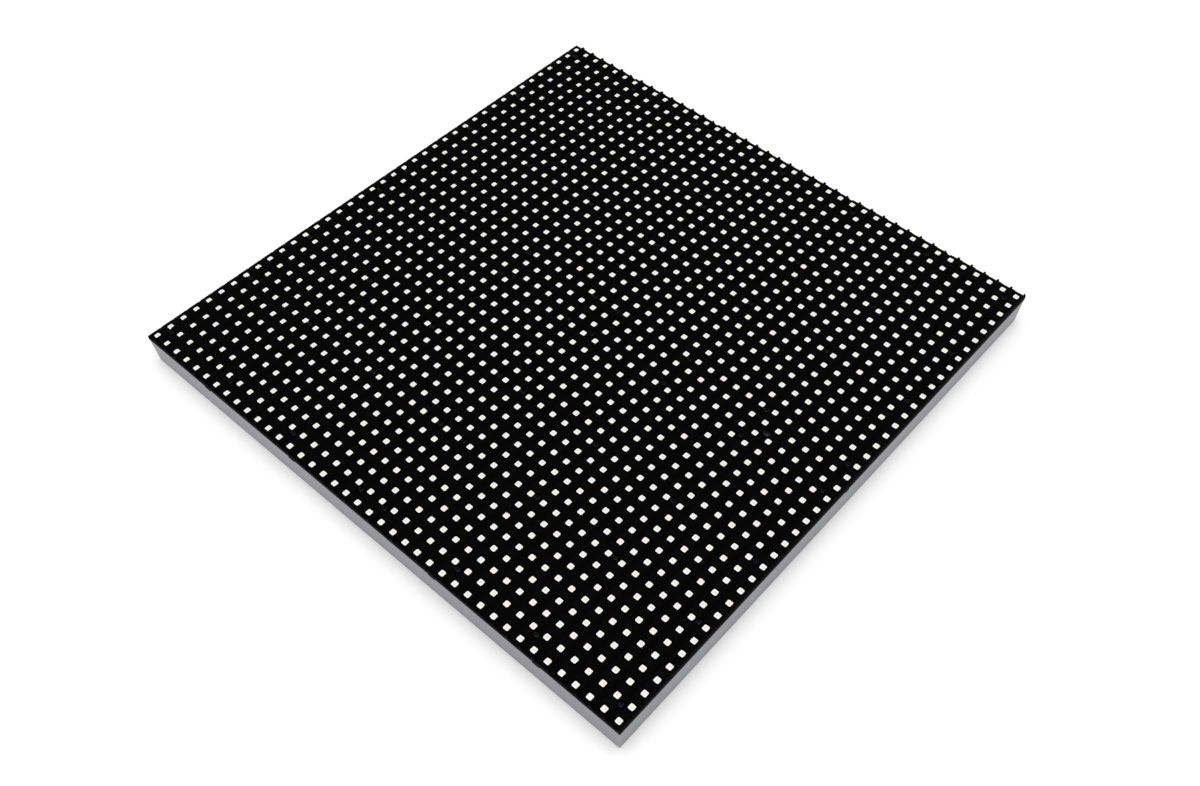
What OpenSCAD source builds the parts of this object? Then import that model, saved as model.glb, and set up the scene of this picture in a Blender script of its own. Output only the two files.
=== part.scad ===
// Outdoor LED dot-matrix display module: 40 by 40 pixels, louvred mask, latches worked from the front.
// Millimetres. z = 0 is the rear rim, +Z is the viewing direction and +Y is the top edge of the picture.

/* [Display] */
// Distance between neighbouring pixels
pitch = 8; // [7.9:0.1:10]
// Side of one lamp package
lamp_w = 3.4; // [3:0.1:3.6]
// Height of a lamp package above the board
lamp_h = 2.8; // [2.4:0.1:3.2]
// How far the lamps stay behind the face of the mask
lamp_setback = 0.1; // [0:0.05:0.4]
// Gap between the edge of the mask and the border of its own pixel cells
seam = 0.4; // [0.3:0.1:0.6]

/* [Mask] */
// Thickness of the face
mask_t = 1.3; // [1:0.1:1.6]
// Height of the skirt round the edge
skirt_h = 2.6; // [2.2:0.1:3.2]
// Width of the skirt
skirt_w = 1.2; // [0.8:0.1:1.3]
// Gap between a lamp and the edge of its window
window_gap = 0.3; // [0.2:0.05:0.35]
// Height of the visors above the face
visor_h = 2; // [1:0.1:3]
// Distance from a window to the top edge of its visor
visor_gap = 0.7; // [0.5:0.1:0.9]
// How far the front of a visor leans over its foot
visor_lean = 0.3; // [0:0.1:0.4]
// Length of the slope behind a visor
visor_run = 2.6; // [2:0.1:2.9]
// Ledge half way down that slope
visor_ledge = 0.12; // [0.05:0.01:0.3]
// Width of the drain cuts between pixels along the top and bottom edges
drain_w = 0.5; // [0.3:0.1:0.8]

/* [Board] */
// Thickness of the circuit board
board_t = 1.6; // [1.2:0.2:2]
// Gap between the board and the lip of the shell
board_gap = 0.25; // [0.1:0.05:0.4]

/* [Shell] */
// Height of the shell, from its rear rim to the skirt of the mask
shell_h = 16.4; // [16:0.1:22]
// How far the walls lean in from front to rear
draft = 0.8; // [0.3:0.1:1.5]
// Thickness of the lip round the board
lip_t = 1; // [0.8:0.1:1.2]
// Width of the ledge that carries the edge of the board
ledge_w = 3; // [2:0.1:3.5]
// Width of the rear rim
rim_w = 9.6; // [9:0.1:11]
// How deep the rear wall lies behind the rim
rear_recess = 3; // [2:0.1:3.4]
// Thickness of the rear wall
wall_t = 2; // [1.6:0.1:2.4]
// Thickness of the ribs across the rear
rib_t = 1.6; // [1.2:0.1:2.4]
// How far those ribs stay in front of the rim
rib_setback = 0.8; // [0.4:0.1:1.2]

/* [Gasket] */
// Width of the sealing strip
gasket_w = 3.8; // [3:0.1:4.2]
// Depth of its groove
groove_depth = 2; // [1.2:0.1:2.4]
// Distance from the outer wall to the groove
groove_inset = 1.6; // [1.2:0.1:2]

/* [Mask screws] */
// Diameter of the screw shank
screw_d = 2; // [1.8:0.1:2.4]
// Diameter of the screw head
screw_head_d = 3; // [2.8:0.1:3.2]
// Height of the screw head
screw_head_h = 1.2; // [0.9:0.1:1.6]
// Length under the head
screw_len = 8; // [7:0.5:9]
// Depth of the head's seat below the face
screw_seat = 0.4; // [0.2:0.1:0.6]
// Diameter of the screw bosses in the shell
boss_d = 6.4; // [5.6:0.1:7]

/* [Rear fixings] */
// Distance between the corner inserts, across the module
insert_dx = 260; // [250:1:266]
// Distance between the corner inserts, up the module
insert_dy = 256; // [250:1:266]
// Thread diameter of the brass inserts
insert_thread = 4; // [3:0.5:5]
// Outer diameter of the brass inserts
insert_d = 5.6; // [5.5:0.1:7]
// Length of the brass inserts
insert_len = 8; // [6:0.5:9]
// Diameter of the bosses that hold them
insert_boss_d = 11; // [10:0.5:12]

/* [Latches] */
// Size of the hex key, across flats
key_af = 4; // [3:0.5:4]
// Diameter of the hole for the key in the mask
key_hole_d = 5; // [4.8:0.1:5.2]
// Diameter of the latch shaft
shaft_d = 7; // [6.5:0.1:7.5]
// Gap round the shaft in its bush
shaft_gap = 0.06; // [0.03:0.01:0.09]
// Outer diameter of the bush
bush_d = 11; // [10:0.1:11.5]
// Outer diameter of the latch tower
tower_d = 15; // [14:0.1:15.5]
// Thickness of the cam
cam_t = 2.4; // [2:0.1:2.6]
// Reach of the cam from the axis of the shaft
cam_reach = 17; // [15:0.5:19]
// Width of the cam
cam_w = 9; // [8:0.5:10]
// Width of the pocket that the cam turns in
pocket_w = 44; // [42:1:50]

/* [Connectors] */
// Distance of the data sockets from the middle
data_x = 35; // [34:0.5:38]
// Length of a data socket
data_l = 27.9; // [27:0.1:29]
// Length of the power socket
power_l = 16; // [15:0.1:17]
// Width of the sockets
socket_w = 8.9; // [8:0.1:9.5]
// Height of the sockets
socket_h = 9; // [8:0.1:9.4]
// Clearance round a socket in its window
socket_gap = 3; // [2:0.1:3.5]

/* [Hidden] */
dots = 40;                    // pixels along each side
bands = 4;                    // lamp groups, each of ten rows
$fn = 48;
eps = 0.01;                   // lets a form overlap the one it grows from
past = 1;                     // how far a cutter passes a face
fit = 0.05;                   // clearance of parts that are pushed together
loose = 0.3;                  // clearance of screws, heads and lugs in their holes

side = dots * pitch;          // border of the pixel cells
half = side / 2 - seam;       // half width of the mask
last = (dots - 1) / 2 * pitch; // middle of the outermost pixels
window_w = lamp_w + 2 * window_gap;
gap_w = pitch - window_w;     // width of the bars between windows

face_z = shell_h + skirt_h;   // face of the mask
web_z = face_z - mask_t;      // underside of that face
mid_z = face_z - mask_t / 2;  // where the louvres end, and the cross bars and the skirt begin
visor_top = face_z + visor_h;
board_top = face_z - lamp_setback - lamp_h;
board_z = board_top - board_t; // underside of the board, where it rests

// shell
mask_over = 0.2;              // how far the mask overhangs the shell
shell_front = half - mask_over;
shell_rear = shell_front - draft;
lip_in = half - mask_over - lip_t;
board_half = lip_in - board_gap;
cavity = lip_in - ledge_w;
rear_half = shell_rear - rim_w;
rear_wall_top = rear_recess + wall_t;
groove_play = 0.1;            // play of the sealing strip on each side of its groove

// screws that hold the mask, the board and the shell together, placed between the pixels
screw_cols = [for (s = [-1, 1], k = [1.25, 7.5, 12.5, 18.8]) s * k * pitch];
screw_rows = [for (s = [-1, 1], k = [1, 7, 13, 19]) s * k * pitch];
seat_z = face_z - screw_seat;
screw_tip = seat_z - screw_len;
pilot_z = screw_tip - loose;
peg_d = gap_w - 0.2;          // pegs of the mask, which stand on the board

// locating lugs, notches for a neighbour's lugs, and drain notches on the edges of the mask
edge_marks = [for (s = [-1, 1], k = [6, 14]) s * k * pitch];
lug_w = 4;
lug_h = 1.1;
notch_depth = 1;
top_lug_w = 2.4;
drain_reach = 1.6;            // how far the drain cuts reach in from the top edge
drain_r = 1.6;                // radius of the notches along the bottom edge
drain_depth = 0.5;

// latches
latch_y = 14 * pitch;
cam_z = 1.9;                  // rear face of the cam
cam_front = cam_z + cam_t;
cam_room = 1.2;               // from the cam to the rear end of the latch tower
tower_z = cam_front + cam_room;
flange_t = 0.8;               // flange of the bush
flange_d = bush_d + 2;
bush_z = tower_z - flange_t;
shaft_room = 0.6;             // from the shaft's head to the board
seal_t = 1;
seal_d = shaft_d + 2.4;
head_t = 2;
head_z = board_z - shaft_room - head_t;
seal_z = head_z - seal_t;
bush_top = seal_z - loose;    // running gap between bush and seal
head_d = bush_d - 1.4;
socket_depth = 5.5;
neck_w = 5;                   // square neck that turns the cam
cam_screw_d = 2.5;
cam_screw_head_d = 6;
cam_screw_head_h = 1.2;
cam_screw_len = 5;
hub_r = cam_w / 2 + 0.5;
pocket_depth = 9;             // from the rear rim to the roof of the pocket
pocket_in = latch_y - tower_d / 2 - 1;
striker_room = 6;             // from the tip of the cam to the outer end of the pocket
pocket_out = latch_y + cam_reach + striker_room;
key_gap = 0.1;                // play of the key in its socket

// sockets
data_pins = 8;                // pins in one row of a data socket
power_pins = 4;
pin_pitch = 2.54;
data_pin_w = 0.64;
power_pitch = 3.96;
power_pin_w = 1.14;
pin_setback = 1.5;            // from the rear of a socket to the tips of its pins
keying_w = 4.5;               // slot in a socket's wall that keys the plug
socket_wall = 1.2;
socket_floor = 2;

// chips and capacitors behind the board
chip_cols = [for (s = [-1, 1], k = [2.75, 5.75, 10, 14.25, 17.25]) s * k * pitch];
chip_rows = [for (s = [-1, 1], k = [4, 10, 15.5]) s * k * pitch];
chip_w = 3.9;
chip_l = 8.65;
chip_h = 1.5;
chip_gap = 0.15;              // height of the leads between chip and board
lead_w = 1;
switch_cols = [for (s = [-1, 1], k = [8.25, 11.75]) s * k * pitch];
switch_y = 5 * pitch;
switch_w = 3.9;
switch_l = 4.9;
logic_y = 2.5 * pitch;
logic_w = 12.8;
logic_l = 7.5;
logic_h = 2.3;
capacitor_y = 67;
capacitor_w = 2;
capacitor_l = 1.25;
capacitor_h = 0.9;
can_rows = [for (s = [-1, 1], k = [3, 5]) s * k * pitch];
can_d = 8;
can_room = 1.5;               // from a bulk capacitor to the rear wall
can_h = board_z - rear_wall_top - can_room;

// A square plate between two heights
module plate(half_w, z0, z1) {
    translate([-half_w, -half_w, z0]) cube([2 * half_w, 2 * half_w, z1 - z0]);
}

// A box placed by the middle of its footprint
module post(x, y, w, l, z0, z1) {
    translate([x - w / 2, y - l / 2, z0]) cube([w, l, z1 - z0]);
}

module disc(d, z0, z1) {
    translate([0, 0, z0]) cylinder(d = d, h = z1 - z0);
}

module tube(d, bore, z0, z1) {
    difference() {
        disc(d, z0, z1);
        disc(bore, z0 - past, z1 + past);
    }
}

module at_screws() {
    for (x = screw_cols, y = screw_rows) translate([x, y, 0]) children();
}

module at_inserts() {
    for (x = [-1, 1] * insert_dx / 2, y = [-1, 0, 1] * insert_dy / 2) translate([x, y, 0]) children();
}

// The top latch as drawn, the bottom latch turned half round
module at_latch(top) {
    rotate(top ? 0 : 180) translate([0, latch_y, 0]) children();
}

module at_latches() {
    for (top = [true, false]) at_latch(top) children();
}

// ---- shell ----

// Four walls that lean in evenly towards the rear
module leaning_block() {
    profile = [[-shell_rear, 0], [shell_rear, 0], [shell_front, shell_h], [-shell_front, shell_h]];
    intersection() {
        translate([0, side, 0]) rotate([90, 0, 0]) linear_extrude(2 * side) polygon(profile);
        translate([-side, 0, 0]) rotate([90, 0, 90]) linear_extrude(2 * side) polygon(profile);
    }
}

module shell_tray() {
    groove_out = shell_rear - groove_inset;
    lug_room = shell_h - lug_h - loose;
    difference() {
        leaning_block();
        plate(lip_in, board_z, shell_h + past);
        plate(cavity, rear_wall_top, board_z + past);
        plate(rear_half, -past, rear_recess);
        difference() {
            plate(groove_out, -past, groove_depth);
            plate(groove_out - gasket_w - 2 * groove_play, -2 * past, groove_depth + past);
        }
        for (y = edge_marks)
            post(lip_in + lip_t / 2, y, 3 * lip_t, lug_w + 2 * loose, lug_room, shell_h + past);
        post(0, lip_in + lip_t / 2, top_lug_w + 2 * loose, 3 * lip_t, lug_room, shell_h + past);
    }
}

module rear_ribs() {
    reach = rear_half + past;
    for (s = [-1, 1], k = [1.25, 7.5, 12.5])
        post(s * k * pitch, 0, rib_t, 2 * reach, rib_setback, rear_recess + eps);
    for (s = [-1, 1], k = [1, 7, 13])
        post(0, s * k * pitch, 2 * reach, rib_t, rib_setback, rear_recess + eps);
}

// Walls and roof of the pocket that a cam turns in
module pocket_block() {
    y0 = pocket_in - latch_y - wall_t;
    y1 = pocket_out - latch_y + wall_t;
    post(0, (y0 + y1) / 2, pocket_w + 2 * wall_t, y1 - y0, rear_recess, pocket_depth + wall_t);
}

module pocket_space() {
    y0 = pocket_in - latch_y;
    y1 = pocket_out - latch_y;
    post(0, (y0 + y1) / 2, pocket_w, y1 - y0, -past, pocket_depth);
}

module shell() {
    color("dimgray") difference() {
        union() {
            difference() {
                union() {
                    shell_tray();
                    rear_ribs();
                    at_screws() disc(boss_d, rear_recess, board_z);
                    at_inserts() disc(insert_boss_d, 0, insert_len + wall_t);
                    at_latches() pocket_block();
                }
                at_latches() pocket_space();
            }
            at_latches() disc(tower_d, tower_z, board_z);
        }
        at_screws() disc(screw_d + 2 * fit, pilot_z, board_z + past);
        at_inserts() disc(insert_d + 2 * fit, -past, insert_len + fit);
        at_latches() disc(bush_d + 2 * fit, tower_z - past, board_z + past);
        for (x = [-data_x, data_x]) socket_window(x, data_l);
        socket_window(0, power_l);
    }
}

// Window in the rear wall, with room for a plug and for fingers
module socket_window(x, length) {
    post(x, 0, length + 2 * socket_gap, socket_w + 2 * socket_gap, -past, rear_wall_top + past);
}

module rear_inserts() {
    color("goldenrod") at_inserts() tube(insert_d, insert_thread, 0, insert_len);
}

module gasket() {
    outer = shell_rear - groove_inset - groove_play;
    color("black") difference() {
        plate(outer, 0, groove_depth);
        plate(outer - gasket_w, -past, groove_depth + past);
    }
}

// ---- mask ----

// Half profile of a bar below its middle line: face, front of the visor, half of its slope
function lower_edge() = [
    [-gap_w / 2, mid_z],
    [-gap_w / 2, face_z],
    [-gap_w / 2 + visor_gap - visor_lean, face_z],
    [-gap_w / 2 + visor_gap, visor_top]];

slope_mid = visor_run - (gap_w / 2 - visor_gap);   // length of the slope past the middle line
mid_rise = visor_h * slope_mid / visor_run;        // height of the slope there

module louvre(j) {
    first = j == 0;
    top = j == dots;
    below = first ? [[seam, mid_z], [seam, face_z]]
          : top ? concat(lower_edge(), [[-seam, face_z], [-seam, mid_z]])
          : concat(lower_edge(), [[0, face_z + mid_rise], [0, face_z + mid_rise - visor_ledge]]);
    above = top ? []
          : first ? [[gap_w / 2, face_z], [gap_w / 2, mid_z]]
          : [[slope_mid, face_z], [gap_w / 2, face_z], [gap_w / 2, mid_z]];
    translate([-half, (j - dots / 2) * pitch, 0]) rotate([90, 0, 90]) linear_extrude(2 * half)
        polygon(concat(below, above));
}

// Holes for the screws and for the key, through whatever lies between two heights
module face_holes(z0, z1) {
    at_screws() disc(screw_d + loose, z0, z1);
    at_latches() disc(key_hole_d, z0, z1);
}

// Band round the edge of the mask
module edge_band(z0, z1) {
    difference() {
        plate(half, z0, z1);
        plate(half - skirt_w, z0 - past, z1 + past);
    }
}

// Notches for a neighbour's lugs on the left edge, and the drain notches along the bottom edge
module edge_notches(z0, z1) {
    for (y = edge_marks) post(-half, y, 2 * notch_depth, lug_w, z0, z1);
    for (i = [1 : dots - 1])
        translate([(i - dots / 2) * pitch, -half - drain_r + drain_depth, z0])
            cylinder(r = drain_r, h = z1 - z0);
}

// Front half of the face, with one louvre between every two rows of lamps
module mask() {
    color("black") difference() {
        union() {
            for (j = [0 : dots]) louvre(j);
            edge_band(mid_z, face_z);
        }
        face_holes(mid_z - past, visor_top + past);
        at_screws() disc(screw_head_d + 2 * loose, seat_z, visor_top + past);
        edge_notches(mid_z - past, visor_top + past);
        for (i = [1 : dots - 1])
            post((i - dots / 2) * pitch, half, drain_w, 2 * drain_reach, face_z, visor_top + past);
    }
}

// Rear half of the face, with one bar between every two columns of lamps
module mask_bars() {
    color("black") difference() {
        plate(half - skirt_w, web_z, mid_z);
        for (i = [0 : dots - 1])
            post((i - (dots - 1) / 2) * pitch, 0, window_w, 2 * last + window_w, web_z - past, face_z);
        face_holes(web_z - past, face_z);
    }
}

// Skirt that stands on the shell, with lugs that drop into the shell's lip
module mask_skirt() {
    color("black") {
        difference() {
            edge_band(shell_h, mid_z);
            edge_notches(shell_h - past, mid_z + past);
        }
        for (y = edge_marks)
            post(half - skirt_w / 2, y, skirt_w, lug_w, shell_h - lug_h, shell_h + eps);
        post(0, half - skirt_w / 2, top_lug_w, skirt_w, shell_h - lug_h, shell_h + eps);
    }
}

// Pegs round the screws, which hold the face off the board
module mask_pegs() {
    color("black") at_screws() tube(peg_d, screw_d + loose, board_top, web_z);
}

module mask_screws() {
    color("dimgray") at_screws() {
        disc(screw_head_d, seat_z, seat_z + screw_head_h);
        disc(screw_d, screw_tip, seat_z);
    }
}

// ---- board and what it carries ----

module board() {
    color("black") difference() {
        plate(board_half, board_z, board_top);
        at_screws() disc(screw_d + 2 * loose, board_z - past, board_top + past);
        at_latches() disc(key_hole_d + loose, board_z - past, board_top + past);
    }
}

// Ten rows of lamps, counted from the bottom of the picture
module lamp_band(band) {
    rows = dots / bands;
    color("white") for (j = [band * rows : (band + 1) * rows - 1], i = [0 : dots - 1])
        post((i - (dots - 1) / 2) * pitch, (j - (dots - 1) / 2) * pitch, lamp_w, lamp_w,
             board_top, board_top + lamp_h);
}

module driver_chips() {
    color("black") for (x = chip_cols, y = chip_rows)
        post(x, y, chip_w, chip_l, board_z - chip_gap - chip_h, board_z - chip_gap);
}

// One strip for the leads on each side of a chip
module driver_leads() {
    color("silver") for (x = chip_cols, y = chip_rows, s = [-1, 1])
        post(x + s * chip_w / 2, y, lead_w, chip_l - lead_w, board_z - chip_gap, board_z);
}

module row_switches() {
    color("black") for (x = switch_cols, y = [-switch_y, switch_y])
        post(x, y, switch_w, switch_l, board_z - chip_h, board_z);
}

module logic_chips() {
    color("black") for (x = [-data_x, data_x], y = [-logic_y, logic_y])
        post(x, y, logic_w, logic_l, board_z - logic_h, board_z);
}

module chip_capacitors() {
    color("tan") for (x = chip_cols, y = [-capacitor_y, capacitor_y])
        post(x, y, capacitor_w, capacitor_l, board_z - capacitor_h, board_z);
}

module bulk_capacitors() {
    color("silver") for (y = can_rows) translate([0, y, 0]) disc(can_d, board_z - can_h, board_z);
}

// A socket with a hollow for the plug, open to the rear, and holes for its pins in the floor
module socket(length, pins, rows, pitch_of_pins, pin_w) {
    rear = board_z - socket_h;
    floor_z = board_z - socket_floor;
    hole_w = pin_w + 2 * fit;
    difference() {
        post(0, 0, length, socket_w, rear, board_z);
        post(0, 0, length - 2 * socket_wall, socket_w - 2 * socket_wall, rear - past, floor_z);
        post(0, -socket_w / 2, keying_w, 3 * socket_wall, rear - past, floor_z);
        pin_grid(pins, rows, pitch_of_pins) post(0, 0, hole_w, hole_w, rear, board_z + past);
    }
}

module pin_grid(pins, rows, pitch_of_pins) {
    for (i = [0 : pins - 1], j = [0 : rows - 1])
        translate([(i - (pins - 1) / 2) * pitch_of_pins, (j - (rows - 1) / 2) * pitch_of_pins, 0])
            children();
}

module pin_set(pins, rows, pitch_of_pins, pin_w) {
    tip = board_z - socket_h + pin_setback;
    pin_grid(pins, rows, pitch_of_pins) post(0, 0, pin_w, pin_w, tip, board_z);
}

module data_socket(x) {
    color("black") translate([x, 0, 0]) socket(data_l, data_pins, 2, pin_pitch, data_pin_w);
}

module data_pin_set(x) {
    color("gold") translate([x, 0, 0]) pin_set(data_pins, 2, pin_pitch, data_pin_w);
}

module power_socket() {
    color("ivory") socket(power_l, power_pins, 1, power_pitch, power_pin_w);
}

module power_pin_set() {
    color("silver") pin_set(power_pins, 1, power_pitch, power_pin_w);
}

// ---- latches ----

module bush(top) {
    color("ivory") at_latch(top) difference() {
        union() {
            disc(bush_d, bush_z, bush_top);
            disc(flange_d, bush_z, tower_z);
        }
        disc(shaft_d + 2 * shaft_gap, bush_z - past, bush_top + past);
    }
}

// Shaft with a hexagon socket at the front and a square neck at the rear
module shaft(top) {
    color("silver") at_latch(top) difference() {
        union() {
            disc(shaft_d, cam_front, head_z);
            disc(head_d, head_z, head_z + head_t);
            post(0, 0, neck_w, neck_w, cam_z, cam_front);
        }
        translate([0, 0, head_z + head_t - socket_depth])
            cylinder(d = (key_af + key_gap) / cos(30), h = socket_depth + past, $fn = 6);
        disc(cam_screw_d + 2 * fit, cam_z - past, cam_z + cam_screw_len + loose);
    }
}

module seal(top) {
    color("black") at_latch(top) tube(seal_d, shaft_d + 2 * fit, seal_z, head_z);
}

// Cam that points outwards when locked
module cam(top) {
    color("silver") at_latch(top) difference() {
        translate([0, 0, cam_z]) linear_extrude(cam_t) {
            circle(hub_r);
            intersection() {
                translate([-cam_w / 2, 0]) square([cam_w, 2 * cam_reach]);
                circle(cam_reach);
            }
        }
        post(0, 0, neck_w + 2 * fit, neck_w + 2 * fit, cam_z - past, cam_front + past);
    }
}

module cam_screw(top) {
    color("dimgray") at_latch(top) {
        disc(cam_screw_head_d, cam_z - cam_screw_head_h, cam_z);
        disc(cam_screw_d, cam_z, cam_z + cam_screw_len);
    }
}

shell();
mask();
mask_bars();
mask_skirt();
mask_pegs();
board();
lamp_band(0);  // lamps_row_01_10
lamp_band(1);  // lamps_row_11_20
lamp_band(2);  // lamps_row_21_30
lamp_band(3);  // lamps_row_31_40
mask_screws();
rear_inserts();
gasket();
driver_chips();
driver_leads();
row_switches();
logic_chips();
chip_capacitors();
bulk_capacitors();
data_socket(data_x);  // data_in_socket
data_pin_set(data_x);  // data_in_pins
data_socket(-data_x);  // data_out_socket
data_pin_set(-data_x);  // data_out_pins
power_socket();
power_pin_set();  // power_pins
bush(true);  // bush_top
shaft(true);  // shaft_top
seal(true);  // seal_top
cam(true);  // cam_top
cam_screw(true);  // cam_screw_top
bush(false);  // bush_bottom
shaft(false);  // shaft_bottom
seal(false);  // seal_bottom
cam(false);  // cam_bottom
cam_screw(false);  // cam_screw_bottom
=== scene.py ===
# %% [markdown]
# # An outdoor LED dot-matrix module
# This lesson dresses the solids of a display module: 1600 lamps behind a black louvred mask, on a grey
# shell. The solids are loaded first and never change. They give every place and size, so nothing is fitted
# by eye. A solid whose shape is right only gets a material. One that is too plain is replaced by a detailed
# piece.

# %% load the frame and note its box
import math
import bmesh
import bpy
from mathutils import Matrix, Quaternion, Vector


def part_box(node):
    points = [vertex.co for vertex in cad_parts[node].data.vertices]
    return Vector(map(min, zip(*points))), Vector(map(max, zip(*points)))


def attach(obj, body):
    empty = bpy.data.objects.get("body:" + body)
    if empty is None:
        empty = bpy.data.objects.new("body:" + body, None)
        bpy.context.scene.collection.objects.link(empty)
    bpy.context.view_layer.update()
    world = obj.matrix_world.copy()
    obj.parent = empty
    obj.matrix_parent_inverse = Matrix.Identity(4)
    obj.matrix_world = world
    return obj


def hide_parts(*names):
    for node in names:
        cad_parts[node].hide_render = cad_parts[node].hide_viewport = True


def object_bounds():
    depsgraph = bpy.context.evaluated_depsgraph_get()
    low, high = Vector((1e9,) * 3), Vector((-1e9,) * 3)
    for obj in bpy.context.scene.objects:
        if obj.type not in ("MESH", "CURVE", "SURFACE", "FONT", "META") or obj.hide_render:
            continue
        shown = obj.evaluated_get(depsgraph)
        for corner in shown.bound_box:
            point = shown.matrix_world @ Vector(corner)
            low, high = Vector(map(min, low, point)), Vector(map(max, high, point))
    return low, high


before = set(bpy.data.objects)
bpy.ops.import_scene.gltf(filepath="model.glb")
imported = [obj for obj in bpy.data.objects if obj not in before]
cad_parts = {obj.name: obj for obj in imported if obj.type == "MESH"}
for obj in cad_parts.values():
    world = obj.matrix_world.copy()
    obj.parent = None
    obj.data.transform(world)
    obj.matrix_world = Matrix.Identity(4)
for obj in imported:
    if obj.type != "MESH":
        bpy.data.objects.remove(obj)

cad_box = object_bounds()
print("solids span", [round(1000 * (b - a), 1) for a, b in zip(*cad_box)], "mm")

# %% [markdown]
# ## Measures
# A few measures are read from the solids, and all later ones hang on them. Two lamp groups' boxes differ in
# width and height by a whole number of pitches, which gives the pitch, and what is left over is the lamp's
# side.

# %% measures from the frame, in metres
MM = 0.001
DOTS = 40                      # lamps along each side
BAND = 10                      # rows of lamps in one node
lamp_low, lamp_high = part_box("lamps_row_01_10")
mask_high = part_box("mask")[1]
bars_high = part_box("mask_bars")[1]
shell_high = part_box("shell")[1]
screws_low, screws_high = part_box("mask_screws")

width, height = (lamp_high.x - lamp_low.x), (lamp_high.y - lamp_low.y)
pitch = (width - height) / (DOTS - BAND)
lamp_w = width - (DOTS - 1) * pitch
half = mask_high.x             # half width of the mask
visor_h = 2 * MM               # height of the visors above the face
visor_top = mask_high.z
face_z = visor_top - visor_h
web_z = 2 * bars_high.z - face_z   # underside of the face
skirt_z = shell_high.z         # where the skirt meets the shell
board_top = lamp_low.z
lamp_top = lamp_high.z
past = 2 * MM                  # how far a cutter passes the faces that it cuts
hair = 0.02 * MM               # keeps two faces out of one plane
print(f"pitch {pitch / MM:.2f} mm, lamp {lamp_w / MM:.2f} mm, face at {face_z / MM:.2f} mm")


def column(i):
    """Middle of a lamp, counted from 0 at the left or at the bottom."""
    return (i - (DOTS - 1) / 2) * pitch


# %% [markdown]
# ## Camera
# The camera looks down on one corner of the module from about half a metre. Its place and lens follow from
# how the square grid of lamps narrows towards the far corner. A small roll and sideways shift finish the
# framing.

# %% camera
aim = Vector((25.19, 47.79, 19.0)) * MM
camera_place = Vector((316.51, 299.43, 508.59)) * MM
camera_roll = math.radians(0.549)
camera_data = bpy.data.cameras.new("camera")
camera_data.lens = 38.19
camera_data.shift_x = -0.0259
camera_data.clip_start, camera_data.clip_end = 0.01, 50
camera = bpy.data.objects.new("camera", camera_data)
bpy.context.scene.collection.objects.link(camera)
camera.location = camera_place
camera.rotation_mode = "QUATERNION"
looking = (aim - camera_place).to_track_quat("-Z", "Y")
camera.rotation_quaternion = looking @ Quaternion((0, 0, 1), camera_roll)
bpy.context.scene.camera = camera
bpy.context.scene.view_settings.view_transform = "Standard"
print("camera at", [round(v, 3) for v in camera_place], "metres, lens", camera_data.lens, "mm")

# %% [markdown]
# ## Modelling by hand, in code
# Every new piece starts as a primitive and is shaped in edit mode, as with the mouse. Small helpers stand
# for the hand: they add a box or a disc, open a mesh, pick by place, extrude, copy, join, cut and close.

# %% helpers for edit mode


def clear_selection():
    if bpy.context.object and bpy.context.object.mode != "OBJECT":
        bpy.ops.object.mode_set(mode="OBJECT")
    bpy.ops.object.select_all(action="DESELECT")


def focus(piece):
    clear_selection()
    piece.select_set(True)
    bpy.context.view_layer.objects.active = piece


def named(name):
    """Names the primitive that was just added, and puts its place into its mesh."""
    piece = bpy.context.object
    piece.name = piece.data.name = name
    bpy.ops.object.transform_apply(location=True, rotation=True, scale=True)
    return piece


def add_box(name, low, high):
    clear_selection()
    low, high = Vector(low), Vector(high)
    bpy.ops.mesh.primitive_cube_add(size=1, location=(low + high) / 2, scale=high - low)
    return named(name)


def add_disc(name, middle, radius, z0, z1, sides=24):
    clear_selection()
    bpy.ops.mesh.primitive_cylinder_add(vertices=sides, radius=radius, depth=z1 - z0,
                                        location=(middle[0], middle[1], (z0 + z1) / 2))
    return named(name)


def edit(piece, mode="EDGE"):
    """Opens a piece in edit mode with nothing selected."""
    focus(piece)
    bpy.ops.object.mode_set(mode="EDIT")
    bpy.ops.mesh.select_mode(type=mode)
    bpy.ops.mesh.select_all(action="DESELECT")


def pick(mode, wanted):
    """Selects the vertices, edges or faces whose middle is wanted, and returns how many there are."""
    bpy.ops.mesh.select_mode(type=mode)
    bpy.ops.mesh.select_all(action="DESELECT")
    mesh = bmesh.from_edit_mesh(bpy.context.object.data)
    items = {"VERT": mesh.verts, "EDGE": mesh.edges, "FACE": mesh.faces}[mode]
    found = 0
    for item in items:
        corners = [item] if mode == "VERT" else item.verts
        if wanted(sum((v.co for v in corners), Vector()) / len(corners)):
            item.select_set(True)
            found += 1
    mesh.select_flush_mode()
    bmesh.update_edit_mesh(bpy.context.object.data)
    return found


def near(a, b):
    return abs(a - b) < 0.001 * MM


def extrude(z, scale=1.0, middle=(0, 0)):
    """Extrudes the selected edges up or down, then scales the new ones about a middle."""
    bpy.ops.mesh.extrude_edges_move(TRANSFORM_OT_translate={"value": (0, 0, z)})
    if scale != 1.0:
        bpy.ops.transform.resize(value=(scale, scale, 1), center_override=(middle[0], middle[1], 0))


def close_mesh(piece, angle=30):
    """Merges doubles, turns the faces outwards and smooths all but the sharp edges."""
    edit(piece)
    bpy.ops.mesh.select_all(action="SELECT")
    bpy.ops.mesh.remove_doubles(threshold=0.001 * MM)
    bpy.ops.mesh.normals_make_consistent(inside=False)
    bpy.ops.object.mode_set(mode="OBJECT")
    bpy.ops.object.shade_smooth_by_angle(angle=math.radians(angle))
    print(f"{piece.name}: {sum(len(p.vertices) - 2 for p in piece.data.polygons)} triangles")
    return piece


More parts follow.
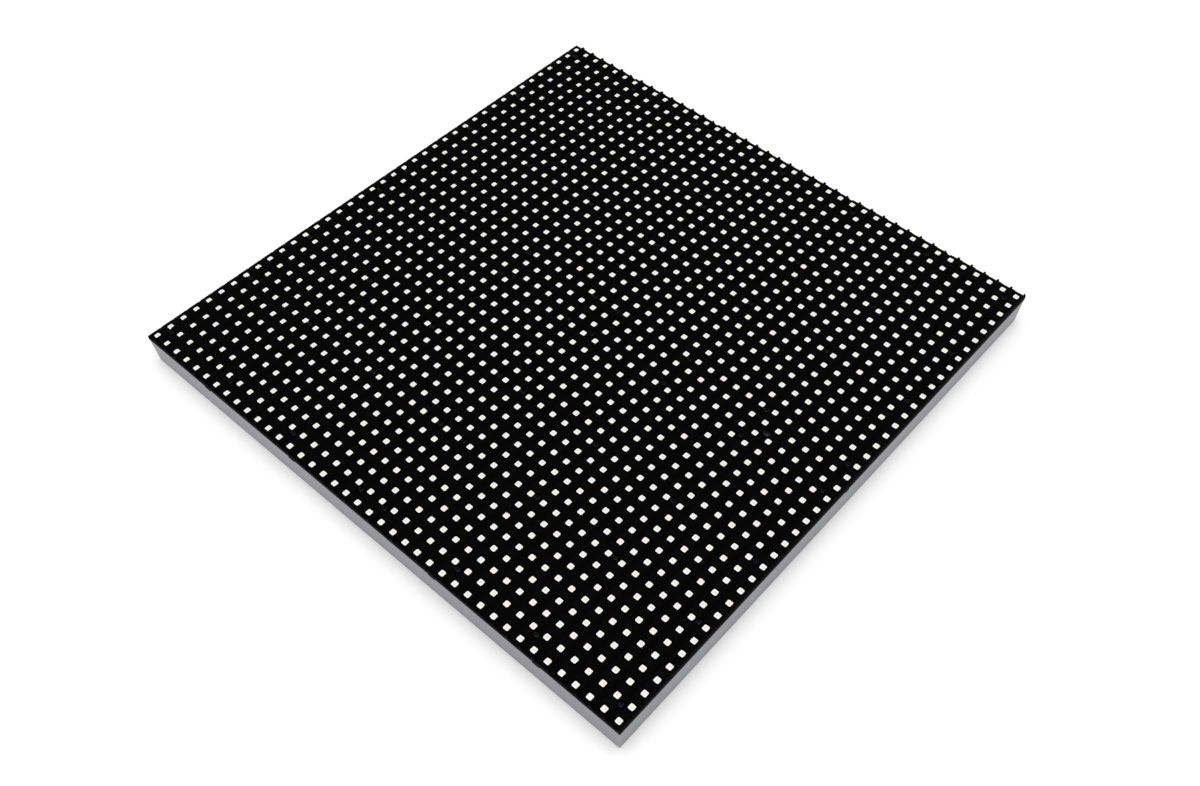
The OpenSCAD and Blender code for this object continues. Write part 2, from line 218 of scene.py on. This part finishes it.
def repeat(piece, count, step, merge=False):
    """Arrays a piece along one step and applies the array."""
    focus(piece)
    array = piece.modifiers.new("array", "ARRAY")
    array.count = count
    array.use_relative_offset = False
    array.use_constant_offset = True
    array.constant_offset_displace = step
    array.use_merge_vertices = merge
    array.merge_threshold = 0.001 * MM
    bpy.ops.object.modifier_apply(modifier=array.name)
    return piece


def join(name, pieces):
    clear_selection()
    for piece in pieces:
        piece.select_set(True)
    bpy.context.view_layer.objects.active = pieces[0]
    bpy.ops.object.join()
    pieces[0].name = pieces[0].data.name = name
    return pieces[0]


def copy_to(piece, place):
    """A copy with its own mesh, moved to its place before the place goes into the mesh."""
    focus(piece)
    bpy.ops.object.duplicate(linked=False)
    copy = bpy.context.object
    bpy.ops.transform.translate(value=place)
    bpy.ops.object.transform_apply(location=True, rotation=False, scale=False)
    return copy


def cut(piece, cutter, keep_cutter=False):
    """Cuts a piece with the boolean modifier."""
    focus(piece)
    boolean = piece.modifiers.new("cut", "BOOLEAN")
    boolean.operation = "DIFFERENCE"
    boolean.solver = "EXACT"
    boolean.object = cutter
    bpy.ops.object.modifier_apply(modifier=boolean.name)
    if not keep_cutter:
        bpy.data.objects.remove(cutter)
    return piece


# %% [markdown]
# ## Mask face
# The mask is one black moulding with a window for every lamp. A cell of one pitch is modelled once: a
# window with rounded corners and a softened rim, its four walls, and the face on both sides. Arrays repeat
# the cell over the module, because 1600 cuts in a plate would be slow and leave long thin faces.

# %% one window cell
window_gap = 0.3 * MM          # gap between a lamp and its window
window = lamp_w + 2 * window_gap
window_corner = 0.5 * MM
window_rim = 0.1 * MM          # softened rim of the window
first = (column(0), column(0))


def window_cell():
    clear_selection()
    bpy.ops.mesh.primitive_plane_add(size=window + 2 * window_rim, location=(*first, face_z))
    cell = named("mask_face")
    edit(cell)
    bpy.ops.mesh.select_all(action="SELECT")
    bpy.ops.mesh.bevel(offset=window_corner, segments=2, affect="VERTICES")
    bpy.ops.mesh.select_all(action="SELECT")
    bpy.ops.mesh.delete(type="ONLY_FACE")
    bpy.ops.mesh.select_all(action="SELECT")
    extrude(-window_rim, window / (window + 2 * window_rim), first)
    extrude(web_z - face_z + window_rim)
    for level in (face_z, web_z):
        bpy.ops.mesh.primitive_plane_add(size=pitch, location=(*first, level))
        bpy.ops.mesh.delete(type="ONLY_FACE")
        pick("EDGE", lambda p: near(p.z, level))
        bpy.ops.mesh.fill(use_beauty=True)
    return cell


mask_face = window_cell()
repeat(mask_face, DOTS, (pitch, 0, 0), merge=True)
repeat(mask_face, DOTS, (0, pitch, 0), merge=True)
print("windows:", DOTS * DOTS)

# %% [markdown]
# The cells end at the border of the module. That border is drawn in by the seam, and its edge is extruded
# down the outside, in under the skirt and up the inside to the back of the face, so the moulding is closed.

# %% skirt round the face
border = DOTS * pitch / 2      # outer edge of the outermost cells
skirt_w = 1.2 * MM
edge_soft = 0.3 * MM           # softened edge all round the face
edit(mask_face)
bpy.ops.mesh.select_all(action="SELECT")
bpy.ops.mesh.remove_doubles(threshold=0.001 * MM)
for level, reach in ((face_z, half - edge_soft), (web_z, half - skirt_w)):
    pick("VERT", lambda p: near(max(abs(p.x), abs(p.y)), border) and near(p.z, level))
    bpy.ops.transform.resize(value=(reach / border, reach / border, 1), center_override=(0, 0, 0))
pick("EDGE", lambda p: near(max(abs(p.x), abs(p.y)), half - edge_soft) and near(p.z, face_z))
extrude(-edge_soft, half / (half - edge_soft))
extrude(skirt_z - face_z + edge_soft)
extrude(0, (half - skirt_w) / half)
extrude(web_z - skirt_z)
close_mesh(mask_face)

# %% [markdown]
# ## Visors
# A visor runs above every row of lamps and keeps sun and rain off them. Its front stands almost upright,
# its back slopes down towards the next row with a small ledge, and its ends are cut at a slant, down to a
# narrow tip. It starts as a bar, whose top edges are moved, bevelled and bisected. The bar is repeated row
# by row.

# %% one visor
visor_foot = 2.4 * MM          # from the middle of the lamp to the foot of the visor's front
visor_crest = 2.7 * MM         # from the middle of the lamp to its top edge
visor_end = 5.3 * MM           # from the middle of the lamp to where its slope ends
ledge_y = pitch / 2            # the ledge lies half way between two rows
ledge_w = 0.08 * MM
ledge_h = 0.12 * MM
crest_soft = 0.14 * MM
end_wall = 1.15 * MM           # height of the upright part of the visor's ends
end_w = 1.1 * MM               # width of the narrow tip at each end of a visor
end_l = 1.3 * MM               # length of that tip
root = 0.2 * MM                # how deep a visor stands in the face


def visor(name, row, slope_end, ledge=True):
    y = column(row)
    bar = add_box(name, (-half, y + visor_foot, face_z - root), (half, y + slope_end, visor_top))
    edit(bar)
    pick("EDGE", lambda p: near(p.y, y + visor_foot) and near(p.z, visor_top))
    bpy.ops.transform.translate(value=(0, visor_crest - visor_foot, 0))
    pick("EDGE", lambda p: near(p.y, y + slope_end) and near(p.z, visor_top))
    bpy.ops.transform.translate(value=(0, 0, -visor_h))
    if ledge:
        for cut_y in (ledge_y, ledge_y + ledge_w):
            bpy.ops.mesh.select_all(action="SELECT")
            bpy.ops.mesh.bisect(plane_co=(0, y + cut_y, 0), plane_no=(0, 1, 0))
        pick("EDGE", lambda p: near(p.y, y + ledge_y + ledge_w) and p.z > face_z and near(p.x, 0))
        bpy.ops.transform.translate(value=(0, 0, -ledge_h))
    pick("EDGE", lambda p: near(p.y, y + visor_crest) and near(p.z, visor_top))
    bpy.ops.mesh.bevel(offset=crest_soft, segments=2)
    for side in (-1, 1):
        bpy.ops.mesh.select_all(action="SELECT")
        bpy.ops.mesh.bisect(plane_co=(side * half, y, face_z + end_wall), plane_no=(side, 0, 1),
                            use_fill=True, clear_outer=True)
    for x in (-half, half):
        cut(bar, add_box("relief", (x - end_l, y + visor_foot + end_w, face_z + hair),
                         (x + end_l, y + slope_end + root, visor_top + root)))
    return bar


visors = repeat(visor("visors", 0, visor_end), DOTS - 1, (0, pitch, 0))
top_visor = visor("top_visor", DOTS - 1, half - column(DOTS - 1), ledge=False)
print("visors:", DOTS)

# %% [markdown]
# Water leaves the top edge through narrow drain cuts between the lamps, and the bottom edge through shallow
# round notches. Both are cut with one joined cutter, which is quicker than many single cuts.

# %% drain cuts, notches, lugs
drain_w = 0.5 * MM
drain_in = 1.6 * MM            # how far the drain cuts reach in from the edge
drain_deep = 0.05 * MM         # how far they go below the face
notch_r = 1.6 * MM
notch_in = 0.5 * MM
mark_w = 4 * MM                # width of the notches and lugs that match with the neighbours
mark_in = 1.0 * MM
lug_h = 1.1 * MM
top_lug_w = 2.4 * MM
marks = [s * k * pitch for s in (-1, 1) for k in (6, 14)]
between = [column(i) + pitch / 2 for i in range(DOTS - 1)]

drain = add_box("drains", (between[0] - drain_w / 2, half - drain_in, face_z - drain_deep),
                (between[0] + drain_w / 2, half + drain_in, visor_top + past))
cut(top_visor, repeat(drain, DOTS - 1, (pitch, 0, 0)))

notch = add_disc("notches", (between[0], -half - notch_r + notch_in), notch_r,
                 skirt_z - past, face_z + past)
notches = repeat(notch, DOTS - 1, (pitch, 0, 0))
gaps = [add_box("gap", (-half - mark_in, y - mark_w / 2, skirt_z - past),
                (-half + mark_in, y + mark_w / 2, visor_top + past)) for y in marks]
edge_cutter = join("edge_cutter", [notches, *gaps])
cut(mask_face, edge_cutter, keep_cutter=True)
cut(visors, edge_cutter)

lug_grip = 0.5 * MM            # how far a lug reaches up into the skirt
lugs = [add_box("lug", (half - skirt_w, y - mark_w / 2, skirt_z - lug_h),
                (half - hair, y + mark_w / 2, skirt_z + lug_grip)) for y in marks]
lugs.append(add_box("lug", (-top_lug_w / 2, half - skirt_w, skirt_z - lug_h),
                    (top_lug_w / 2, half - hair, skirt_z + lug_grip)))
print(f"drain cuts: {len(between)}, drain notches: {len(between)}, gaps: {len(gaps)}, lugs: {len(lugs)}")

# %% [markdown]
# The screws between the lamps need a round seat and a hole, and two larger holes let a key through to the
# latches. The cutters are discs at the screws' own places.

# %% screw seats and key holes
screw_columns = [s * k * pitch for s in (-1, 1) for k in (1.25, 7.5, 12.5, 18.8)]
screw_rows = [s * k * pitch for s in (-1, 1) for k in (1, 7, 13, 19)]
head_h = 1.2 * MM
head_r = 1.5 * MM
head_gap = 0.3 * MM            # play of a head in its seat
screw_seat = screws_high.z - head_h    # underside of a head
seat_r = head_r + head_gap
screw_r = 1.2 * MM
key_hole_r = 2.5 * MM
latch_y = 14 * pitch


def seat_cutter():
    """A stepped disc: the seat of the head, and the hole for the shank below it."""
    seat = add_disc("seat", (screw_columns[0], screw_rows[0]), seat_r, screw_seat, visor_top + past)
    edit(seat)
    pick("FACE", lambda p: near(p.z, screw_seat))
    bpy.ops.mesh.inset(thickness=seat_r - screw_r)
    bpy.ops.mesh.extrude_region_move(TRANSFORM_OT_translate={"value": (0, 0, web_z - past - screw_seat)})
    clear_selection()
    return seat


def at_screws(piece):
    """The piece, made at the first screw, and its copies at all the others."""
    pieces = [piece]
    for x in screw_columns:
        for y in screw_rows:
            if (x, y) != (screw_columns[0], screw_rows[0]):
                pieces.append(copy_to(piece, (x - screw_columns[0], y - screw_rows[0], 0)))
    return pieces


key_cutters = [add_disc("key_hole", (0, y), key_hole_r, web_z - past, visor_top + past)
               for y in (-latch_y, latch_y)]
hole_cutter = join("hole_cutter", at_screws(seat_cutter()) + key_cutters)
cut(mask_face, hole_cutter, keep_cutter=True)
cut(visors, hole_cutter)
mask = close_mesh(join("mask_moulding", [mask_face, visors, top_visor, *lugs]))
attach(mask, "module")
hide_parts("mask", "mask_bars", "mask_skirt")

# %% [markdown]
# ## Lamps
# A lamp is a small black housing with a square cup, filled with milky silicone that covers the dies. The
# housing and its lens are two pieces, modelled once at the first place and arrayed over ten rows at a time.

# %% lamp housing and lens
lens_w = 2.8 * MM
lens_corner = 0.55 * MM
housing_soft = 0.12 * MM       # softened edge of the housing
cup_depth = 0.5 * MM
lens_rise = 0.05 * MM          # the filling stands a little proud in the middle
lens_low = 0.06 * MM           # its upright wall stops this far below the rim of the cup
lens_round = 0.04 * MM         # height of its rounded edge
lens_edge, lens_middle = 0.96, 0.55    # how far it narrows over that edge, and then to its flat middle


def rounded_square(name, size, z):
    """A square outline with rounded corners, ready to be extruded."""
    clear_selection()
    bpy.ops.mesh.primitive_plane_add(size=size, location=(*first, z))
    piece = named(name)
    edit(piece)
    bpy.ops.mesh.select_all(action="SELECT")
    bpy.ops.mesh.bevel(offset=lens_corner, segments=2, affect="VERTICES")
    bpy.ops.mesh.select_all(action="SELECT")
    bpy.ops.mesh.delete(type="ONLY_FACE")
    bpy.ops.mesh.select_all(action="SELECT")
    return piece


def lamp_housing():
    housing = rounded_square("lamp_housings", lens_w, lamp_top - cup_depth)
    bpy.ops.mesh.edge_face_add()
    pick("EDGE", lambda p: True)
    extrude(cup_depth)
    top_w = lamp_w - 2 * housing_soft
    bpy.ops.mesh.primitive_plane_add(size=top_w, location=(*first, lamp_top))
    bpy.ops.mesh.delete(type="ONLY_FACE")
    pick("EDGE", lambda p: near(p.z, lamp_top))
    bpy.ops.mesh.fill(use_beauty=True)
    pick("EDGE", lambda p: near(max(abs(p.x - first[0]), abs(p.y - first[1])), top_w / 2))
    extrude(-housing_soft, lamp_w / top_w, first)
    extrude(board_top - lamp_top + housing_soft)
    bpy.ops.mesh.edge_face_add()
    return close_mesh(housing)


def lamp_lens():
    lens = rounded_square("lamp_lenses", lens_w - hair, lamp_top - cup_depth)
    bpy.ops.mesh.edge_face_add()
    pick("EDGE", lambda p: True)
    extrude(cup_depth - lens_low)
    extrude(lens_round, lens_edge, first)
    extrude(lens_rise, lens_middle, first)
    bpy.ops.mesh.edge_face_add()
    return close_mesh(lens, 60)


housing, lens = lamp_housing(), lamp_lens()
for part in (housing, lens):
    repeat(part, DOTS, (pitch, 0, 0))
    repeat(part, BAND, (0, pitch, 0))
lamp_bands = []
for band in range(DOTS // BAND):
    node = f"lamps_row_{band * BAND + 1:02}_{(band + 1) * BAND:02}"
    shift = (0, band * BAND * pitch, 0)
    pair = [copy_to(part, shift) if band else part for part in (housing, lens)]
    lamp_bands.append((node, pair))
for node, pair in lamp_bands:
    for part, kind in zip(pair, ("housings", "lenses")):
        part.name = part.data.name = f"{kind}_{node[6:]}"
        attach(part, "module")
        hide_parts(node)
print("lamps:", DOTS * DOTS)

# %% [markdown]
# ## Mask screws
# Small pan-head screws with a cross recess hold the mask. A disc is given a rounded crown with a bevel, and
# a cross of two bars is cut into it. The finished screw is copied to its 64 places.

# %% one screw and its copies
crown = 0.5 * MM
recess_w = 0.42 * MM
recess_l = 1.8 * MM
recess_h = 0.7 * MM
shank_r = 1.0 * MM


def screw():
    x, y = screw_columns[0], screw_rows[0]
    head = add_disc("mask_screw_heads", (x, y), head_r, screw_seat, screw_seat + head_h, 20)
    edit(head)
    pick("EDGE", lambda p: near(p.z, screw_seat + head_h))
    bpy.ops.mesh.bevel(offset=crown, segments=3)
    pick("FACE", lambda p: near(p.z, screw_seat))
    bpy.ops.mesh.inset(thickness=head_r - shank_r)
    bpy.ops.mesh.extrude_region_move(TRANSFORM_OT_translate={"value": (0, 0, screws_low.z - screw_seat)})
    top = screw_seat + head_h
    bars = [add_box("recess", (x - a / 2, y - b / 2, top - recess_h), (x + a / 2, y + b / 2, top + recess_h))
            for a, b in ((recess_l, recess_w), (recess_w, recess_l))]
    for bar in bars:
        cut(head, bar)
    return close_mesh(head)


screws = join("mask_screw_heads", at_screws(screw()))
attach(screws, "module")
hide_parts("mask_screws")

# %% [markdown]
# ## Materials
# Each material is named for what the real one is and how its surface was made. Colours are written as sRGB
# hex values, and one function turns them to linear. One more adds a node with its settings and links.

# %% colour and node helpers


def colour(code):
    """An sRGB hex value as linear red, green, blue and alpha."""
    parts = [int(code[i:i + 2], 16) / 255 for i in (1, 3, 5)]
    return (*[c / 12.92 if c <= 0.04045 else ((c + 0.055) / 1.055) ** 2.4 for c in parts], 1.0)


def add_node(tree, kind, inputs=(), **settings):
    """Adds a node. An input is a value, or the socket that it is linked from."""
    made = tree.nodes.new("ShaderNode" + kind)
    for name, value in settings.items():
        setattr(made, name, value)
    for socket, value in dict(inputs).items():
        if isinstance(value, bpy.types.NodeSocket):
            tree.links.new(value, made.inputs[socket])
        else:
            made.inputs[socket].default_value = value
    return made


def finish_material(name, values):
    """A material, its tree, its shader with plain values set, and the piece's own coordinates."""
    material = bpy.data.materials.new(name)
    material.use_nodes = True
    tree = material.node_tree
    shader = tree.nodes["Principled BSDF"]
    for socket, value in values.items():
        shader.inputs[socket].default_value = value
    place = add_node(tree, "TexCoord").outputs["Object"]
    return material, tree, shader, place


def grain(tree, shader, place, size, depth, roughness):
    """A fine moulded or blasted grain: bumps of a size and depth in metres, and rougher spots."""
    noise = add_node(tree, "TexNoise", {"Vector": place, "Scale": 1 / size, "Detail": 2.0})
    bump = add_node(tree, "Bump", {"Height": noise.outputs["Fac"], "Distance": depth, "Strength": 1.0})
    tree.links.new(bump.outputs["Normal"], shader.inputs["Normal"])
    ramp = add_node(tree, "MapRange", {"Value": noise.outputs["Fac"], "From Min": 0.3, "From Max": 0.7,
                                       "To Min": roughness[0], "To Max": roughness[1]})
    tree.links.new(ramp.outputs["Result"], shader.inputs["Roughness"])
    return noise


def give(material, *names):
    for name in names:
        piece = bpy.data.objects[name]
        piece.data.materials.clear()
        piece.data.materials.append(material)
    print(f"{material.name}: {len(names)} pieces")


# %% [markdown]
# The mask is moulded from black polycarbonate in a spark-eroded tool. The matt grain, about a tenth of a
# millimetre, keeps sunlight from washing the picture out: the eye sees deep black with faint grey edges.
# The specular level is far below that of the smooth plastic, because the grain scatters and traps most of
# what a smooth surface would mirror.

# %% mask: spark-eroded black polycarbonate
black_moulding, tree, shader, place = finish_material("spark_eroded_black_polycarbonate", {
    "Base Color": colour("#020203"), "IOR": 1.58, "Specular IOR Level": 0.015})
grain(tree, shader, place, 0.15 * MM, 0.01 * MM, (0.5, 0.68))
give(black_moulding, mask.name, "mask_pegs")

# %% [markdown]
# The lens is milky silicone, poured and cured flat. It is nearly white. The dies below show as a slightly
# warm and darker middle, and the cup's walls as a brighter rim. Each lamp's middle is found by folding the
# coordinates by the pitch, so one material serves all 1600.

# %% lens: poured milky silicone
milky_silicone, tree, shader, place = finish_material("poured_milky_silicone", {
    "IOR": 1.41, "Roughness": 0.3, "Coat Weight": 0.15, "Coat Roughness": 0.1})
axes = add_node(tree, "SeparateXYZ", {"Vector": place})
squareness = 4.0               # 2 would draw circles round the middle, more draws squares
folded = []
for axis in ("X", "Y"):
    moved = add_node(tree, "Math", {0: axes.outputs[axis], 1: pitch / 2}, operation="ADD")
    folds = add_node(tree, "Math", {0: moved.outputs[0], 1: pitch / 2, 2: -pitch / 2}, operation="WRAP")
    folded.append(add_node(tree, "Math", {0: folds.outputs[0], 1: lens_w / 2}, operation="DIVIDE").outputs[0])
powers = [add_node(tree, "Math", {0: value, 1: squareness}, operation="POWER").outputs[0] for value in folded]
spread = add_node(tree, "Math", {0: powers[0], 1: powers[1]}, operation="ADD").outputs[0]
from_middle = add_node(tree, "Math", {0: spread, 1: 1 / squareness}, operation="POWER").outputs[0]
lens_ramp = add_node(tree, "ValToRGB", {"Fac": from_middle})
lens_ramp.color_ramp.elements[0].color = colour("#dddad2")
lens_ramp.color_ramp.elements[0].position = 0.1
lens_ramp.color_ramp.elements[1].color = colour("#f6f5ef")
lens_ramp.color_ramp.elements[1].position = 0.75
tree.links.new(lens_ramp.outputs["Color"], shader.inputs["Base Color"])
give(milky_silicone, *[pair[1].name for node, pair in lamp_bands])

# %% [markdown]
# The housing of a lamp is moulded from glass-filled black nylon, so that nothing but the lens is bright.
# Its surface is as rough and dull as the mask's, which the eye can't tell it from.

# %% lamp housing: moulded black nylon
lamp_nylon, tree, shader, place = finish_material("moulded_black_lamp_nylon", {
    "Base Color": colour("#020203"), "IOR": 1.53, "Specular IOR Level": 0.015})
grain(tree, shader, place, 0.1 * MM, 0.004 * MM, (0.45, 0.6))
give(lamp_nylon, *[pair[0].name for node, pair in lamp_bands])

# %% [markdown]
# The shell is moulded from grey polycarbonate with a fine satin grain. It shows soft light all over its
# sides, with faint clouding from the flow of the plastic.

# %% shell: satin grey polycarbonate
shell_grey, tree, shader, place = finish_material("satin_grey_polycarbonate", {"IOR": 1.58})
grain(tree, shader, place, 0.3 * MM, 0.01 * MM, (0.42, 0.55))
flow = add_node(tree, "TexNoise", {"Vector": place, "Scale": 1 / (60 * MM), "Detail": 3.0})
flow_ramp = add_node(tree, "ValToRGB", {"Fac": flow.outputs["Fac"]})
flow_ramp.color_ramp.elements[0].color = colour("#8f8f92")
flow_ramp.color_ramp.elements[0].position = 0.3
flow_ramp.color_ramp.elements[1].color = colour("#949497")
flow_ramp.color_ramp.elements[1].position = 0.7
tree.links.new(flow_ramp.outputs["Color"], shader.inputs["Base Color"])
give(shell_grey, "shell")

# %% [markdown]
# The other pieces are small and mostly on the back. A table gives each one its real material: the name, the
# base colour, how metallic and rough it is, the size of its grain in millimetres and, for what isn't a
# metal, its IOR. The plated steels look like dull mirrors, dark or light, and brass and gold add their warm
# tint. The rubbers swallow nearly all light. Chip resin and nylon are matt, with a soft sheen at a low
# angle, and acetal is a little smoother and almost white. One loop makes them all.

# %% small pieces
SMALL = (
    ("black_zinc_plated_steel", "#161619", 1.0, (0.2, 0.3), 0.2, None, ("mask_screw_heads", "cam_screw_top",
                                                                    "cam_screw_bottom")),
    ("black_solder_resist", "#0d120f", 0.0, (0.25, 0.4), 0.8, 1.5, ("board",)),
    ("turned_brass", "#c8a560", 1.0, (0.25, 0.38), 0.15, None, ("rear_inserts",)),
    ("black_silicone_sponge", "#161617", 0.0, (0.75, 0.95), 0.5, 1.41, ("gasket",)),
    ("black_silicone_rubber", "#121213", 0.0, (0.5, 0.65), 0.3, 1.41, ("seal_top", "seal_bottom")),
    ("moulded_chip_epoxy", "#1b1b1c", 0.0, (0.5, 0.65), 0.1, 1.55, ("driver_chips", "row_switches",
                                                                   "logic_chips")),
    ("tinned_copper", "#d6d5cf", 1.0, (0.25, 0.4), 0.2, None, ("driver_leads", "power_pins")),
    ("gold_flashed_brass", "#e0bb62", 1.0, (0.15, 0.28), 0.2, None, ("data_in_pins", "data_out_pins")),
    ("fired_ceramic", "#b79a6d", 0.0, (0.4, 0.6), 0.2, 1.6, ("chip_capacitors",)),
    ("drawn_aluminium", "#cfd1d2", 1.0, (0.25, 0.35), 0.4, None, ("bulk_capacitors",)),
    ("moulded_black_socket_nylon", "#151516", 0.0, (0.4, 0.55), 0.3, 1.53, ("data_in_socket",
                                                                           "data_out_socket")),
    ("moulded_ivory_nylon", "#e6dfca", 0.0, (0.4, 0.55), 0.3, 1.53, ("power_socket",)),
    ("moulded_acetal", "#e9e6dc", 0.0, (0.35, 0.5), 0.3, 1.48, ("bush_top", "bush_bottom")),
    ("zinc_plated_steel", "#b9bcc0", 1.0, (0.22, 0.36), 0.3, None, ("shaft_top", "shaft_bottom", "cam_top",
                                                                   "cam_bottom")),
)
for name, base, metallic, roughness, size, ior, pieces in SMALL:
    values = {"Base Color": colour(base), "Metallic": metallic}
    if ior:
        values["IOR"] = ior
    material, tree, shader, place = finish_material(name, values)
    grain(tree, shader, place, size * MM, 0.02 * size * MM, roughness)
    give(material, *pieces)
print("materials:", len(bpy.data.materials))

# %% [markdown]
# ## Floor and light
# The module lies on a white table in a plain studio. The world gives even light, and two large soft lamps
# give the sides their form. For the camera, the floor is as white as paper and keeps the module's shadow.
# Away from the module, where the lamps no longer reach, the camera sees it lifted to white, so no horizon
# shows.

# %% floor
clear_selection()
bpy.ops.mesh.primitive_plane_add(size=40, location=(0, 0, cad_box[0].z))
floor = named("floor")
paper, tree, shader, place = finish_material("white_table", {
    "Base Color": (0.9, 0.9, 0.9, 1), "Roughness": 0.8, "Emission Color": (1, 1, 1, 1)})
path = add_node(tree, "LightPath")
away = add_node(tree, "VectorMath", {0: place}, operation="LENGTH")
glow = add_node(tree, "MapRange", {"Value": away.outputs["Value"], "From Min": 0.35, "From Max": 1.2,
                                   "To Min": 0.1, "To Max": 0.7})
lift = add_node(tree, "Math", {0: path.outputs["Is Camera Ray"], 1: glow.outputs["Result"]},
                operation="MULTIPLY")
tree.links.new(lift.outputs[0], shader.inputs["Emission Strength"])
give(paper, "floor")

# %% [markdown]
# The world is plain white, and stronger for what the camera sees or a glossy surface mirrors than for the
# light that it casts. So the background is pure white, while shadows keep their depth. Both lamps are large
# squares, since a small one would draw hard shadows and bright points on the satin shell.

# %% world and lamps
world = bpy.data.worlds.new("studio")
bpy.context.scene.world = world
world.use_nodes = True
tree = world.node_tree
background = tree.nodes["Background"]
path = add_node(tree, "LightPath")
seen = path.outputs["Is Camera Ray"]
for ray in ("Is Glossy Ray", "Is Transmission Ray"):
    seen = add_node(tree, "Math", {0: seen, 1: path.outputs[ray]}, operation="MAXIMUM").outputs[0]
strength = add_node(tree, "MapRange", {"Value": seen, "To Min": 0.62, "To Max": 1.0})
background.inputs["Color"].default_value = (1, 1, 1, 1)
tree.links.new(strength.outputs["Result"], background.inputs["Strength"])


def soft_lamp(name, place, size, power, target=(0, 0, 0)):
    data = bpy.data.lights.new(name, "AREA")
    data.shape = "SQUARE"
    data.size = size
    data.energy = power
    lamp = bpy.data.objects.new(name, data)
    bpy.context.scene.collection.objects.link(lamp)
    lamp.location = place
    lamp.rotation_mode = "QUATERNION"
    lamp.rotation_quaternion = (Vector(target) - Vector(place)).to_track_quat("-Z", "Y")


soft_lamp("top_lamp", (0.1, 0.1, 2.2), 1.4, 26)
soft_lamp("side_lamp", (1.6, -0.4, 1.0), 1.0, 1)
print("studio lamps:", len(bpy.data.lights))
